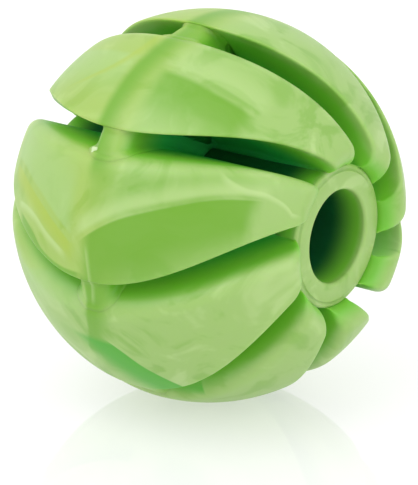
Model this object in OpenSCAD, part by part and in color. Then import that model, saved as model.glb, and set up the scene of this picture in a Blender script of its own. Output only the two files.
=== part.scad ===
// Soft moulded puzzle ball: curved ribs round a hollow centre tube, tied by a web at the equator.
// The tube lies along X. The origin is the middle of the ball, +Z is up.
// Ribs and web panels are numbered round +X, from +Z towards -Y.

/* [Ball] */
// Diameter of the ball over the ribs
ball_d = 75; // [72:0.5:80]

/* [Centre tube] */
// Outside diameter of the centre tube
tube_d = 27.4; // [26:0.2:29]
// Diameter of the hole through the tube
bore_d = 17.8; // [15:0.2:20]
// Length of the tube, rim to rim
tube_len = 60; // [58:0.5:62]
// Width of the lower lip round each rim
lip_w = 1.2; // [0.8:0.1:2]
// Drop from the flat of the rim to the lip
lip_drop = 0.3; // [0.2:0.1:0.6]

/* [Ribs] */
// Radius of the convex side of a rib
convex_r = 37.6; // [37:0.1:38.5]
// Radius of the hollow side of a rib
hollow_r = 29.3; // [28.8:0.1:29.8]
// Radius of the rounding over each rib end, which bulges past the tube's rim
end_round_r = 3.5; // [3:0.1:4]

/* [Web] */
// Thickness of the web between the ribs
web_t = 7; // [5:0.5:8]
// Drop from the ball's surface to the web's outer edge
web_drop = 0.7; // [0.4:0.1:1.5]
// Radius of the web's outer corners
web_edge_r = 2.6; // [1.5:0.1:3]

/* [Gate mark] */
// Diameter of the bigger bead of the gate mark
gate_d = 1.8; // [1.2:0.1:2.4]

/* [Hidden] */
$fn = 128;

rib_count = 8;
pitch = 360 / rib_count;
ball_r = ball_d / 2;
tube_r = tube_d / 2;
web_r = ball_r - web_drop;

// Centres of a rib's two sides in its cross-section: [out from the axis, round from it]
convex_at = [0.2, 0.916] * ball_r;
hollow_at = [-0.1665, 0.665] * ball_r;

// The rounding of the rib ends runs from the tube's outside to the ball's surface
end_ring_r = tube_r + end_round_r;
end_ring_x = sqrt(pow(ball_r - end_round_r, 2) - pow(end_ring_r, 2));

// The gate mark sits on the rounded far edge of the first web panel
gate_turn = 60;
gate_at = [-web_t * 0.42, web_r - web_edge_r * 0.4];

// A round bar along X, centred on the point [out, round] of the cross-section
module bar(r, at = [0, 0], length = ball_d + 10)
    translate([-length / 2, -at[1], at[0]])
        rotate([0, 90, 0])
            cylinder(r = r, h = length);

// A ring round X made from a profile [radius, distance along X]
module turned()
    rotate([0, 90, 0])
        rotate_extrude()
            children();

// The ball with a rounded edge where each rib end turns down to the tube
module ball_form() {
    difference() {
        sphere(r = ball_r);
        for (side = [-1, 1])
            turned() polygon([[0, 0], [2 * end_ring_r, side * 2 * end_ring_x],
                              [0, side * 2 * end_ring_x]]);
    }
    turned()
        for (side = [-1, 1])
            translate([end_ring_r, side * end_ring_x])
                circle(r = end_round_r);
    bar(end_ring_r, length = 2 * end_ring_x);
}

// Space taken by one rib's sides before the ball shape cuts it
module blade()
    difference() {
        intersection() {
            bar(convex_r, convex_at);
            translate([-ball_d, -ball_d, 0]) cube([2 * ball_d, 2 * ball_d, ball_d]);
        }
        bar(hollow_r, hollow_at, ball_d + 20);
    }

module rib(n)
    color("yellowgreen")
        rotate([pitch * (n - 1), 0, 0])
            difference() {
                intersection() {
                    ball_form();
                    blade();
                }
                bar(tube_r);
            }

// The web's ring, with round outer corners
module web_ring()
    turned() {
        translate([tube_r, -web_t / 2])
            square([web_r - web_edge_r - tube_r, web_t]);
        translate([tube_r, -web_t / 2 + web_edge_r])
            square([web_r - tube_r, web_t - 2 * web_edge_r]);
        for (side = [-1, 1])
            translate([web_r - web_edge_r, side * (web_t / 2 - web_edge_r)])
                circle(r = web_edge_r);
    }

// A point of the cross-section, at a radius and a turn from +Z towards -Y
function turned_point(radius, turn) = [-radius * sin(turn), radius * cos(turn)];

// The slice of the ring from the middle of one rib to the middle of the next
module panel_slice() {
    mid_inner = 1;
    mid_outer = 34;
    middle = [for (s = [0:0.25:1]) [tube_r * 0.9 + s * (ball_r * 1.1 - tube_r * 0.9),
                                    mid_inner + s * (mid_outer - mid_inner)]];
    outline = concat(
        [for (p = middle) turned_point(p[0], p[1])],
        [for (i = [len(middle) - 1:-1:0]) turned_point(middle[i][0], middle[i][1] + pitch)]);
    rotate([90, 0, 90])
        linear_extrude(height = 2 * web_t, center = true)
            polygon(outline);
}

module web(n)
    color("limegreen")
        rotate([pitch * (n - 1), 0, 0])
            difference() {
                intersection() {
                    web_ring();
                    panel_slice();
                }
                blade();
                rotate([pitch, 0, 0]) blade();
            }

module centre_tube()
    color("olivedrab")
        difference() {
            bar(tube_r, length = tube_len);
            bar(bore_d / 2, length = tube_len + 2);
            for (side = [-1, 1])
                translate([side * tube_len / 2, 0, 0])
                    difference() {
                        bar(tube_r + 1, length = 2 * lip_drop);
                        bar(tube_r - lip_w, length = 1);
                    }
        }

// Two small beads of rubber left where the mould was filled
module gate_mark()
    color("palegreen")
        rotate([gate_turn, 0, 0])
            translate([gate_at[0], 0, gate_at[1]]) {
                sphere(d = gate_d, $fn = 32);
                translate([0.5 * gate_d, 0.45 * gate_d, 0.2 * gate_d])
                    sphere(d = 0.7 * gate_d, $fn = 32);
            }

centre_tube();
rib(1);  // rib_1
rib(2);  // rib_2
rib(3);  // rib_3
rib(4);  // rib_4
rib(5);  // rib_5
rib(6);  // rib_6
rib(7);  // rib_7
rib(8);  // rib_8
web(1);  // web_1
web(2);  // web_2
web(3);  // web_3
web(4);  // web_4
web(5);  // web_5
web(6);  // web_6
web(7);  // web_7
web(8);  // web_8
gate_mark();
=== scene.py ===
# Soft puzzle ball, moulded in one shot from marbled green thermoplastic rubber (TPR).
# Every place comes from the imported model; each piece below stands for one of its nodes.
import math
import bmesh
import bpy
from mathutils import Matrix, Vector, noise


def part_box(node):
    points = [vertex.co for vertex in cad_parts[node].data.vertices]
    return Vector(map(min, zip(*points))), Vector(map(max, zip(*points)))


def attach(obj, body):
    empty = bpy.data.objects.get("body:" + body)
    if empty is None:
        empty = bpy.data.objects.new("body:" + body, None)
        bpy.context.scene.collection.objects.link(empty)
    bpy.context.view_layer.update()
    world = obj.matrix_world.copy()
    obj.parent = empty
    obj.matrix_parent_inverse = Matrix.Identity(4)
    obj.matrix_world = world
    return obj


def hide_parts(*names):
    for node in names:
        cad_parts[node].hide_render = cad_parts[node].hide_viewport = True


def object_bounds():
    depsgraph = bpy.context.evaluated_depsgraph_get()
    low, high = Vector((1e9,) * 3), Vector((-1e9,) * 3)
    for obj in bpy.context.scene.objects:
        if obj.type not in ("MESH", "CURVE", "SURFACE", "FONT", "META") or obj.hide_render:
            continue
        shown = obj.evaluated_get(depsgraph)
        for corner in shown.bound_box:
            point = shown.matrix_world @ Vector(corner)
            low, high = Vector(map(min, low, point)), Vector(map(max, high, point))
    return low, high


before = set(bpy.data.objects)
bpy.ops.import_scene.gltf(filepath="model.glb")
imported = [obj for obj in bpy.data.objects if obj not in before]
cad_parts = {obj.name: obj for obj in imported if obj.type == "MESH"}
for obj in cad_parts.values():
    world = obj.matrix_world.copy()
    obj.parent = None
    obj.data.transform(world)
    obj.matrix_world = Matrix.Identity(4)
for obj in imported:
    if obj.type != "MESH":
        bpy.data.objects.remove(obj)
cadLow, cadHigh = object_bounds()
mm = 0.001

ballRadius = cadHigh.z
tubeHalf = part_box("centre_tube")[1].x
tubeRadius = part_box("centre_tube")[1].z
ribCount = len([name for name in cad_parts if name.startswith("rib_")])
pitch = 360 / ribCount
print("frame loaded:", len(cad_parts), "nodes, ball radius", round(ballRadius / mm, 2), "mm")

cameraSetup = {
    "azimuth": 36.8,        # degrees round the ball
    "elevation": 19.45,     # degrees above the table
    "distance": 0.675,      # metres from the ball's middle
    "viewHeight": 0.09233,  # metres seen from top to bottom at the ball
    "drop": 0.00706,        # how far below the ball's middle the view is centred
}
az = math.radians(cameraSetup["azimuth"])
el = math.radians(cameraSetup["elevation"])
away = Vector((math.sin(az) * math.cos(el), -math.cos(az) * math.cos(el), math.sin(el)))
up = Vector((-math.sin(az) * math.sin(el), math.cos(az) * math.sin(el), math.cos(el)))
aim = -up * cameraSetup["drop"]
cameraData = bpy.data.cameras.new("camera")
cameraData.lens = 36 * cameraSetup["distance"] / cameraSetup["viewHeight"]
cameraData.clip_start = 0.01
camera = bpy.data.objects.new("camera", cameraData)
camera.location = aim + away * cameraSetup["distance"]
camera.rotation_euler = (-away).to_track_quat("-Z", "Y").to_euler()
bpy.context.scene.collection.objects.link(camera)
bpy.context.scene.camera = camera
bpy.context.scene.view_settings.view_transform = "Standard"

lights = {
    # name: azimuth, elevation, distance, size, watts
    "key": (-25, 52, 1.1, 0.9, 4.0),
    "fill": (85, 30, 1.3, 0.9, 3.2),
}
for name, (lightAz, lightEl, distance, size, watts) in lights.items():
    a, e = math.radians(lightAz), math.radians(lightEl)
    toward = Vector((math.sin(a) * math.cos(e), -math.cos(a) * math.cos(e), math.sin(e)))
    data = bpy.data.lights.new(name, "AREA")
    data.shape, data.size, data.energy = "SQUARE", size, watts
    light = bpy.data.objects.new(name, data)
    light.location = toward * distance
    light.rotation_euler = (-toward).to_track_quat("-Z", "Y").to_euler()
    bpy.context.scene.collection.objects.link(light)

world = bpy.data.worlds.new("studio")
world.use_nodes = True
world.node_tree.nodes["Background"].inputs["Color"].default_value = (1, 1, 1, 1)
world.node_tree.nodes["Background"].inputs["Strength"].default_value = 1.0
bpy.context.scene.world = world
print("camera and lights set")


def hexToLinear(text):
    channels = [int(text[i:i + 2], 16) / 255 for i in (0, 2, 4)]
    return (*[c / 12.92 if c <= 0.04045 else ((c + 0.055) / 1.055) ** 2.4 for c in channels], 1.0)


def addNode(tree, kind, settings=None, links=None):
    node = tree.nodes.new(kind)
    for key, value in (settings or {}).items():
        setattr(node, key, value)
    for key, value in (links or {}).items():
        if isinstance(value, bpy.types.NodeSocket):
            tree.links.new(value, node.inputs[key])
        else:
            node.inputs[key].default_value = value
    return node


marblingAndShadeColours = {
    "pale": "99BC68",       # most of the ball
    "light": "B6D08A",      # fine pale streaks
    "saturated": "6AA31A",  # less mixed pigment
    "deep": "40A404",       # a darker, fully saturated green, used for one crisp-edged wedge
    "yellow": "A2BA3E",
    "cool": "9EC278",
    "shoulder": "72C22C",   # painted shade: saturated green just inside a groove
    "groove": "2CC860",     # painted shade: saturated green deep in a groove, where little light gets in
    # painted shade: dark green deep inside the bore
    "bore": "0C5C2E",
}

# Swirls of pigment. Each runs along one angle, with its crisp edge where the path gives the other:
# latitude is measured from the equator towards +X, turn round the axis from +Z towards -Y.
# The pigment lies on the side of the path where the other angle is bigger, or smaller with a minus reach.
swirls = [
    dict(colour="yellow", over="turn", path=((-40, 14), (40, 12), (104, 16)), reach=-90, crisp=12,
         strength=0.4, span=(-50, 108), fade=14),
    dict(colour="saturated", over="turn", path=((-20, -6), (20, -6), (40, -8), (60, -5)), reach=14, crisp=4,
         strength=0.9, span=(-30, 70), fade=8),
    dict(colour="saturated", over="latitude", path=((0, 62), (20, 60), (40, 52)), reach=26, crisp=6,
         strength=0.4, span=(-4, 50), fade=6),
    dict(colour="saturated", over="turn", path=((95, -5), (108, -4), (122, -7)), reach=11, crisp=1.5,
         strength=0.9, span=(94, 126), fade=4),
    dict(colour="saturated", over="latitude", path=((0, 28), (6, 28.5), (22, 29.5), (38, 31)), reach=24,
         crisp=2.5, strength=0.85, span=(3, 38), fade=6),
    dict(colour="light", over="latitude", path=((2, 28), (8, 28), (22, 28.5), (38, 29.5)), reach=-12,
         crisp=1.5, strength=0.35, span=(3, 40), fade=5),
    dict(colour="cool", over="latitude", path=((-2, 25), (-23, 22), (-43, 20)), reach=22,
         crisp=2, strength=0.5, span=(-45, -3), fade=4),
    dict(colour="yellow", over="turn", path=((12, -12), (20, -9), (40, -28)), reach=6,
         crisp=2, strength=0.6, span=(12, 42), fade=6),
    dict(colour="saturated", over="latitude", path=((-6, 87), (4, 80.5), (17, 74), (35, 66), (52, 60)),
         reach=30, crisp=0.8, strength=0.9, span=(-4, 50), fade=6),
    dict(colour="light", over="latitude", path=((-6, 86), (4, 80), (17, 73.5), (35, 65.5), (52, 59)),
         reach=-8, crisp=2.0, strength=0.55, span=(-6, 52), fade=5),
    dict(colour="light", over="latitude", path=((34, 54), (42, 58), (50, 57), (58, 62)), reach=4,
         crisp=1.2, strength=0.6, span=(34, 62), fade=4),
    dict(colour="saturated", over="latitude", path=((-34, 82.5), (-24, 87), (-18, 91), (-3, 93)), reach=9,
         crisp=1.0, strength=0.85, span=(-34, -1), fade=4),
    dict(colour="cool", over="latitude", path=((-43, 66), (-29, 71.5), (-15, 78), (-6, 84)), reach=-26,
         crisp=1.5, strength=0.6, span=(-46, -4), fade=5),
    dict(colour="yellow", over="latitude", path=((-43, 67), (-29, 72.5), (-15, 79), (-6, 85)), reach=8,
         crisp=1.2, strength=0.75, span=(-44, -3), fade=5),
    dict(colour="light", over="latitude", path=((-36, 79.5), (-26, 80), (-16, 84), (-8, 88)), reach=4,
         crisp=1.0, strength=0.6, span=(-36, -7), fade=4),
    dict(colour="cool", over="latitude", path=((-28, 103), (-13, 99.5), (-3, 99)), reach=12,
         crisp=1.5, strength=0.55, span=(-34, -1), fade=5),
    dict(colour="light", over="turn", path=((86, -1.4), (95, -1.2), (104, -1.8)), reach=2.2,
         crisp=0.7, strength=0.35, span=(85, 106), fade=4),
    dict(colour="deep", over="turn", path=((116, 1), (120, 6), (125, 10), (135, 16), (145, 19)), reach=-20,
         crisp=0.8, strength=0.95, span=(116, 150), fade=3),
]


def addSwirl(tree, base, latitude, turn, warp, swirl):
    along, across = (latitude, turn) if swirl["over"] == "latitude" else (turn, latitude)
    path = sorted(swirl["path"])
    low, high = path[0][0], path[-1][0]
    bottom, top = min(p[1] for p in path) - 1, max(p[1] for p in path) + 1
    place = addNode(tree, "ShaderNodeMapRange", {"clamp": True},
                    {"Value": along, "From Min": low, "From Max": high})
    edge = addNode(tree, "ShaderNodeFloatCurve", None, {"Value": place.outputs[0]})
    curve = edge.mapping.curves[0]
    points = [((p[0] - low) / (high - low), (p[1] - bottom) / (top - bottom)) for p in path]
    for point in points[1:-1]:
        curve.points.new(*point)
    curve.points[0].location = points[0]
    curve.points[len(curve.points) - 1].location = points[-1]
    edge.mapping.update()
    onEdge = addNode(tree, "ShaderNodeMapRange", {"clamp": False},
                     {"Value": edge.outputs[0], "To Min": bottom, "To Max": top})
    off = addNode(tree, "ShaderNodeMath", {"operation": "SUBTRACT"}, {0: across, 1: onEdge.outputs[0]})
    off = addNode(tree, "ShaderNodeMath", {"operation": "ADD"}, {0: off.outputs[0], 1: warp})
    off = addNode(tree, "ShaderNodeMath", {"operation": "MULTIPLY"},
                  {0: off.outputs[0], 1: math.copysign(1, swirl["reach"])})
    reach = abs(swirl["reach"])
    start, end = swirl["span"]
    mask = swirl["strength"]
    for source, a, b, c, d in (
            (off.outputs[0], 0, swirl["crisp"], 0, 1),
            (off.outputs[0], reach * 0.3, reach, 1, 0),
            (along, start, start + swirl["fade"], 0, 1),
            (along, end - swirl["fade"], end, 1, 0)):
        part = addNode(tree, "ShaderNodeMapRange", {"interpolation_type": "SMOOTHSTEP"},
                       {"Value": source, "From Min": a, "From Max": b, "To Min": c, "To Max": d})
        mask = addNode(tree, "ShaderNodeMath", {"operation": "MULTIPLY"},
                       {0: mask, 1: part.outputs[0]}).outputs[0]
    return addNode(tree, "ShaderNodeMix", {"data_type": "RGBA"},
                   {0: mask, 6: base, 7: hexToLinear(marblingAndShadeColours[swirl["colour"]])}).outputs[2]


# Injection-moulded TPR: half-mixed pigment flows over it, and painted shade turns it pure green in its
# depths.
# "depth" says what the painted shade follows: the distance from the ball's middle, or how far in along the
# tube.
# Each painted shade starts at the first distance and is full at the second, in mm.
def marbledRubberWithPaintedShade(name, depth, paintedDepthShades):
    material = bpy.data.materials.new(name)
    material.use_nodes = True
    tree = material.node_tree
    shader = tree.nodes["Principled BSDF"]
    place = addNode(tree, "ShaderNodeTexCoord").outputs["Object"]
    inMm = addNode(tree, "ShaderNodeMapping", None, {"Vector": place, "Scale": (1000, 1000, 1000)}).outputs[0]
    split = addNode(tree, "ShaderNodeSeparateXYZ", None, {0: inMm})
    x, y, z = split.outputs
    far = addNode(tree, "ShaderNodeVectorMath", {"operation": "LENGTH"}, {0: inMm}).outputs["Value"]
    ratio = addNode(tree, "ShaderNodeMath", {"operation": "DIVIDE"}, {0: x, 1: far})
    rise = addNode(tree, "ShaderNodeMath", {"operation": "ARCSINE"}, {0: ratio.outputs[0]})
    latitude = addNode(tree, "ShaderNodeMath", {"operation": "DEGREES"}, {0: rise.outputs[0]}).outputs[0]
    minusY = addNode(tree, "ShaderNodeMath", {"operation": "MULTIPLY"}, {0: y, 1: -1})
    angle = addNode(tree, "ShaderNodeMath", {"operation": "ARCTAN2"}, {0: minusY.outputs[0], 1: z})
    turn = addNode(tree, "ShaderNodeMath", {"operation": "DEGREES"}, {0: angle.outputs[0]}).outputs[0]
    drift = addNode(tree, "ShaderNodeTexNoise", None,
                    {"Vector": inMm, "Scale": 0.04, "Detail": 1, "Roughness": 0.5})
    warp = addNode(tree, "ShaderNodeMapRange", None,
                   {"Value": drift.outputs[0], "From Min": 0.2, "From Max": 0.8,
                    "To Min": -2.5, "To Max": 2.5}).outputs[0]
    # faint streaks everywhere, a few millimetres wide
    streaks = addNode(tree, "ShaderNodeTexNoise", None,
                      {"Vector": inMm, "Scale": 0.06, "Detail": 3, "Roughness": 0.45, "Distortion": 2.2})
    colour = hexToLinear(marblingAndShadeColours["pale"])
    for tint, a, b, strength in (("light", 0.53, 0.68, 0.5), ("saturated", 0.47, 0.34, 0.45)):
        amount = addNode(tree, "ShaderNodeMapRange", {"interpolation_type": "SMOOTHSTEP"},
                         {"Value": streaks.outputs[0], "From Min": a, "From Max": b,
                          "To Min": 0, "To Max": strength})
        colour = addNode(tree, "ShaderNodeMix", {"data_type": "RGBA"},
                         {0: amount.outputs[0], 6: colour, 7: hexToLinear(marblingAndShadeColours[tint])}).outputs[2]
    for swirl in swirls:
        colour = addSwirl(tree, colour, latitude, turn, warp, swirl)
    # painted shade: blend towards the shade colours with depth into the grooves or the bore
    inside = addNode(tree, "ShaderNodeMath", {"operation": "ABSOLUTE"}, {0: x}).outputs[0]
    if depth == "ball":
        inside = far
    for tint, a, b, strength in paintedDepthShades:
        amount = addNode(tree, "ShaderNodeMapRange", {"interpolation_type": "SMOOTHSTEP"},
                         {"Value": inside, "From Min": a, "From Max": b, "To Min": 0, "To Max": strength})
        colour = addNode(tree, "ShaderNodeMix", {"data_type": "RGBA"},
                         {0: amount.outputs[0], 6: colour, 7: hexToLinear(marblingAndShadeColours[tint])}).outputs[2]
    tree.links.new(colour, shader.inputs["Base Color"])
    shader.inputs["Roughness"].default_value = 0.42
    shader.inputs["IOR"].default_value = 1.5
    shader.inputs["Subsurface Weight"].default_value = 0.4
    shader.inputs["Subsurface Radius"].default_value = (0.6, 1.0, 0.3)
    shader.inputs["Subsurface Scale"].default_value = 0.003
    return material


# painted shade: more saturated green deeper into the grooves, by distance from the ball's middle
rubber = marbledRubberWithPaintedShade("marbledTprMouldedPaintedGrooveShade", "ball", (("shoulder", 37.2, 34, 0.9), ("groove", 33.5, 25, 0.95)))
# painted shade: saturated green at the bore's mouth, then darker green further into the bore
tubeRubber = marbledRubberWithPaintedShade("marbledTprTubePaintedBoreShade", "tube", (("shoulder", 29.7, 28, 0.9), ("bore", 29, 22, 1)))

# The torn-off gate left a wet-looking pale bead: smoother than the textured mould leaves the rest
gateRubber = bpy.data.materials.new("tornTprGateScar")
gateRubber.use_nodes = True
gateShader = gateRubber.node_tree.nodes["Principled BSDF"]
gateShader.inputs["Base Color"].default_value = hexToLinear("C6DCA6")
gateShader.inputs["Roughness"].default_value = 0.18
gateShader.inputs["IOR"].default_value = 1.5
print("materials made")


def finishPiece(bm, name, node, material):
    bmesh.ops.remove_doubles(bm, verts=bm.verts, dist=1e-7)
    bmesh.ops.recalc_face_normals(bm, faces=bm.faces)
    for face in bm.faces:
        face.smooth = True
    mesh = bpy.data.meshes.new(name)
    bm.to_mesh(mesh)
    bm.free()
    mesh.materials.append(material)
    piece = bpy.data.objects.new(name, mesh)
    bpy.context.scene.collection.objects.link(piece)
    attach(piece, "root")
    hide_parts(node)


ribShape = {
    "convexCentre": (7.5 * mm, 34.35 * mm), "convexRadius": 37.6 * mm,     # low side of the section
    "hollowCentre": (-6.244 * mm, 24.94 * mm), "hollowRadius": 29.3 * mm,  # high side
    "endRounding": 3.5 * mm,     # over each end, from the ball's surface down to the tube
    "softEdge": 2.5 * mm,        # big rounding on the low side
    "sharpEdge": 1.0 * mm,       # small one on the thin high side
    "rootFillet": 0.9 * mm,      # where a side meets the tube
    "sink": 0.4 * mm,            # how far the base lies inside the tube's wall
    "baseShort": 3 * mm,         # how far the base stops short where the end's rounding starts
}
ringRadius = tubeRadius + ribShape["endRounding"]
ringX = math.sqrt((ballRadius - ribShape["endRounding"]) ** 2 - ringRadius ** 2)
ringLatitude = math.atan2(ringX, ringRadius)


# Where a side of the cross-section lies at a distance from the axis
def sideTurn(radius, centre, bend):
    reach = math.hypot(*centre)
    cosine = (radius ** 2 + reach ** 2 - bend ** 2) / (2 * radius * reach)
    return math.atan2(centre[1], centre[0]) - math.acos(max(-1, min(1, cosine)))


def rootFlare(radius, fillet):
    height = max(0, radius - tubeRadius)
    if height >= fillet:
        return 0
    return fillet - math.sqrt(fillet ** 2 - (fillet - height) ** 2)


def rootFillet(x):
    nearEnd = max(0, min(1, (abs(x) - 0.6 * tubeHalf) / (0.35 * tubeHalf)))
    return ribShape["rootFillet"] * (1 - 0.7 * nearEnd)


def lowTurn(radius, x=0):
    turn = sideTurn(radius, ribShape["convexCentre"], ribShape["convexRadius"])
    return turn - rootFlare(radius, rootFillet(x)) / radius


def highTurn(radius, x=0):
    turn = sideTurn(radius, ribShape["hollowCentre"], ribShape["hollowRadius"])
    return turn + rootFlare(radius, rootFillet(x)) / radius


def bezier(a, b, c, t):
    return a * (1 - t) ** 2 + b * 2 * t * (1 - t) + c * t ** 2


# Half a rib seen from the side, in (x, distance from the axis): over the ball, then round the end
ribSteps = {"ball": 62, "end": 26}
halfSteps = sum(ribSteps.values())


def ribEdge(step):
    side = -1 if step < 0 else 1
    step = abs(step)
    if step <= ribSteps["ball"]:
        latitude = ringLatitude * step / ribSteps["ball"]
        outer = Vector((math.sin(latitude), math.cos(latitude))) * ballRadius
        along = (ringX - ribShape["baseShort"]) * math.sin(latitude) / math.sin(ringLatitude)
    else:
        t = (step - ribSteps["ball"]) / ribSteps["end"]
        angle = ringLatitude + (math.pi - ringLatitude) * t
        outward = Vector((math.sin(angle), math.cos(angle)))
        outer = Vector((ringX, ringRadius)) + ribShape["endRounding"] * outward
        along = ringX - ribShape["baseShort"] * (1 - t)
    inner = Vector((along, tubeRadius - ribShape["sink"]))
    return Vector((outer.x * side, outer.y)), Vector((inner.x * side, inner.y))


# The most that each rounding takes of a narrow stretch's width, and of its height
widthShare = {"softEdge": 0.35, "sharpEdge": 0.2}
heightShare = {"softEdge": 0.45, "sharpEdge": 0.3}
ribLoop = [("low", 18), ("softEdge", 9), ("face", 30), ("sharpEdge", 6), ("high", 18), ("base", 7)]


# A point of the rib's skin: a step along it, and a count round its cross-section
def ribPoint(step, count):
    outer, inner = ribEdge(step)
    height = (outer - inner).length
    low, high = lowTurn(outer.y, outer.x), highTurn(outer.y, outer.x)
    width = (high - low) * outer.y
    soft, sharp = [min(ribShape[edge], width * widthShare[edge]) for edge in widthShare]
    softDown, sharpDown = [min(ribShape[edge], height * heightShare[edge]) for edge in heightShare]

    def onLow(t):
        point = inner.lerp(outer, t)
        return Vector((point.x, point.y, lowTurn(point.y, point.x)))

    def onHigh(t):
        point = inner.lerp(outer, t)
        return Vector((point.x, point.y, highTurn(point.y, point.x)))

    def onTop(turn):
        return Vector((outer.x, outer.y, turn))

    for part, steps in ribLoop:
        if count < steps:
            break
        count -= steps
    t = count / steps
    if part == "low":
        spot = onLow((1 - softDown / height) * t)
    elif part == "softEdge":
        spot = bezier(onLow(1 - softDown / height), onTop(low), onTop(low + soft / outer.y), t)
    elif part == "face":
        spot = onTop(low + soft / outer.y + (high - low - (soft + sharp) / outer.y) * t)
    elif part == "sharpEdge":
        spot = bezier(onTop(high - sharp / outer.y), onTop(high), onHigh(1 - sharpDown / height), t)
    elif part == "high":
        spot = onHigh((1 - sharpDown / height) * (1 - t))
    else:
        spot = onHigh(0).lerp(onLow(0), t)
    return Vector((spot.x, -spot.y * math.sin(spot.z), spot.y * math.cos(spot.z)))


loopSteps = sum(steps for part, steps in ribLoop)
ribMesh = bmesh.new()
bmesh.ops.create_grid(ribMesh, x_segments=2 * halfSteps, y_segments=loopSteps, size=1)
for vert in ribMesh.verts:
    vert.co = ribPoint(round(vert.co.x * halfSteps), round((vert.co.y + 1) / 2 * loopSteps) % loopSteps)
bmesh.ops.remove_doubles(ribMesh, verts=ribMesh.verts, dist=1e-7)
bmesh.ops.holes_fill(ribMesh, edges=[e for e in ribMesh.edges if e.is_boundary], sides=0)
print("ribs made:", len(ribMesh.faces), "faces each")
for number in range(1, ribCount + 1):
    bm = ribMesh.copy()
    spin = Matrix.Rotation(math.radians(pitch * (number - 1)), 3, "X")
    bmesh.ops.rotate(bm, cent=(0, 0, 0), matrix=spin, verts=bm.verts)
    finishPiece(bm, f"rib{number}", f"rib_{number}", rubber)

webShape = {
    "edgeRounding": 2.6 * mm,
    "fillet": 1.5 * mm,        # where it runs into the ribs
    "intoHigh": 1.0 * mm,      # how far a panel runs into the thin side of one rib
    "intoLow": 3.5 * mm,       # and into the thick side of the next
    "softRoll": ribShape["softEdge"] * 0.83,  # depth over which that side's edge rolls away
    "lift": 0.4 * mm,          # how far the top rises where it meets a rib
}
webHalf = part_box("web_1")[1].x
webRadius = max(math.hypot(v.co.y, v.co.z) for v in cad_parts["web_1"].data.vertices)
webLoop = [("up", 16), ("round1", 8), ("top", 4), ("round2", 8), ("down", 16), ("base", 6)]
webAcross = 30


# A point of a panel's skin: a share of the way from rib to rib, and a count round its cross-section
def webPoint(across, count):
    rounding = webShape["edgeRounding"]
    for part, steps in webLoop:
        if count < steps:
            break
        count -= steps
    t = count / steps
    foot = tubeRadius - ribShape["sink"]
    shoulder = webRadius - rounding
    side, top = 0, 0
    if part == "up":
        x, radius, side = -webHalf, foot + (shoulder - foot) * t, -1
    elif part == "round1":
        a = t * math.pi / 2
        x, radius = -webHalf + rounding * (1 - math.cos(a)), shoulder + rounding * math.sin(a)
        side, top = -math.cos(a), math.sin(a)
    elif part == "top":
        x, radius, top = (webHalf - rounding) * (2 * t - 1), webRadius, 1
    elif part == "round2":
        a = (1 - t) * math.pi / 2
        x, radius = webHalf - rounding * (1 - math.cos(a)), shoulder + rounding * math.sin(a)
        side, top = math.cos(a), math.sin(a)
    elif part == "down":
        x, radius, side = webHalf, shoulder + (foot - shoulder) * t, 1
    else:
        x, radius = webHalf * (1 - 2 * t), foot
    # the panel follows the next rib's soft edge where that rolls away from it
    start = highTurn(radius) - webShape["intoHigh"] / radius
    rise = max(0, radius - (ballRadius - webShape["softRoll"])) / webShape["softRoll"]
    wall = lowTurn(radius) + math.radians(pitch) + ribShape["softEdge"] * rise ** 2 / radius
    end = lowTurn(radius) + math.radians(pitch) + webShape["intoLow"] / radius
    turn = start + (end - start) * across
    gap = min(abs(turn - highTurn(radius)), abs(wall - turn)) * radius
    if turn < highTurn(radius) or turn > wall:
        gap = 0
    fillet = webShape["fillet"]
    flare = 0 if gap >= fillet else fillet - math.sqrt(fillet ** 2 - (fillet - gap) ** 2)
    x += side * (flare + rootFlare(radius, fillet))
    radius += top * min(flare, webShape["lift"])
    return Vector((x, -radius * math.sin(turn), radius * math.cos(turn)))


webSteps = sum(steps for part, steps in webLoop)
webMesh = bmesh.new()
bmesh.ops.create_grid(webMesh, x_segments=webAcross, y_segments=webSteps, size=1)
for vert in webMesh.verts:
    vert.co = webPoint((vert.co.x + 1) / 2, round((vert.co.y + 1) / 2 * webSteps) % webSteps)
bmesh.ops.remove_doubles(webMesh, verts=webMesh.verts, dist=1e-7)
bmesh.ops.holes_fill(webMesh, edges=[e for e in webMesh.edges if e.is_boundary], sides=0)
for number in range(1, ribCount + 1):
    bm = webMesh.copy()
    spin = Matrix.Rotation(math.radians(pitch * (number - 1)), 3, "X")
    bmesh.ops.rotate(bm, cent=(0, 0, 0), matrix=spin, verts=bm.verts)
    finishPiece(bm, f"web{number}", f"web_{number}", rubber)
print("web made")

tubeShape = {
    "boreRadius": 8.9 * mm,
    "boreEdge": 0.7 * mm,      # rounding into the bore
    "lipWidth": 1.2 * mm,
    "lipDrop": 0.3 * mm,
    "lipEdge": 0.6 * mm,       # rounding outside
}
bore, edge = tubeShape["boreRadius"], tubeShape["boreEdge"]
lipInner = tubeRadius - tubeShape["lipWidth"]
lipX = tubeHalf - tubeShape["lipDrop"]
lipEdge = tubeShape["lipEdge"]
quarter = [math.radians(d) for d in range(0, 91, 15)]
profile = [(0.0, bore), (tubeHalf * 0.5, bore)]
profile += [(tubeHalf - edge + edge * math.sin(a), bore + edge - edge * math.cos(a)) for a in quarter]
profile += [(tubeHalf, lipInner - 0.15 * mm), (tubeHalf - 0.05 * mm, lipInner - 0.03 * mm),
            (lipX, lipInner + 0.05 * mm)]
profile += [(lipX - lipEdge + lipEdge * math.cos(a), tubeRadius - lipEdge + lipEdge * math.sin(a))
            for a in quarter]
profile += [(tubeHalf * 0.5, tubeRadius), (0.0, tubeRadius)]
bm = bmesh.new()
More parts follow.
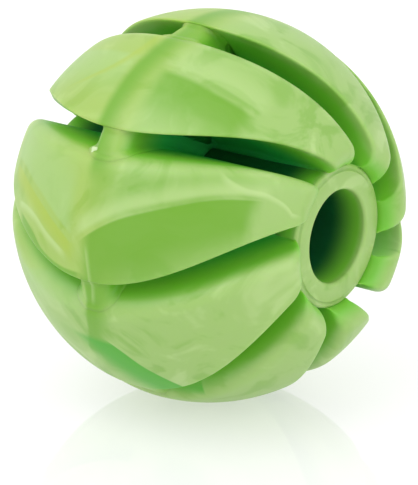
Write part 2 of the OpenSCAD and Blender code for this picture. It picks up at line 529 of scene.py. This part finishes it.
verts = [bm.verts.new((x, 0, radius)) for x, radius in profile]
for a, b in zip(verts, verts[1:]):
    bm.edges.new((a, b))
bmesh.ops.spin(bm, geom=bm.verts[:] + bm.edges[:], cent=(0, 0, 0), axis=(1, 0, 0), angle=math.tau,
               steps=144, use_merge=True)
bmesh.ops.mirror(bm, geom=bm.verts[:] + bm.edges[:] + bm.faces[:], axis="X", merge_dist=1e-6)
finishPiece(bm, "centreTube", "centre_tube", tubeRubber)
print("tube made")

gateLumps = {"finer": 1.6, "mean": 0.9, "depth": 0.3, "place": Vector((3, 1, 7))}
gateLow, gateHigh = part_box("gate_mark")
gateMiddle = (gateLow + gateHigh) / 2
gateSize = (gateHigh - gateLow) / 2
bm = bmesh.new()
bmesh.ops.create_icosphere(bm, subdivisions=4, radius=1)
for vert in bm.verts:
    bump = noise.noise(vert.co * gateLumps["finer"] + gateLumps["place"])
    lump = gateLumps["mean"] + gateLumps["depth"] * bump
    vert.co = Vector([vert.co[i] * gateSize[i] for i in range(3)]) * lump + gateMiddle
finishPiece(bm, "gateMark", "gate_mark", gateRubber)
print("gate mark made")

# Polished white table, dimmer than white but glowing a little, so shadows on it stay faint
bm = bmesh.new()
bmesh.ops.create_grid(bm, x_segments=1, y_segments=1, size=6)
bmesh.ops.translate(bm, verts=bm.verts, vec=(0, 0, cadLow.z - 0.02 * mm))
floorMesh = bpy.data.meshes.new("floor")
bm.to_mesh(floorMesh)
bm.free()
floorMaterial = bpy.data.materials.new("polishedWhiteTable")
floorMaterial.use_nodes = True
floorShader = floorMaterial.node_tree.nodes["Principled BSDF"]
floorShader.inputs["Base Color"].default_value = hexToLinear("BCBCBC")
floorShader.inputs["Emission Color"].default_value = (1, 1, 1, 1)
floorShader.inputs["Emission Strength"].default_value = 0.47
floorShader.inputs["Roughness"].default_value = 0.03
floorShader.inputs["IOR"].default_value = 1.6
floorMesh.materials.append(floorMaterial)
floor = bpy.data.objects.new("floor", floorMesh)
bpy.context.scene.collection.objects.link(floor)
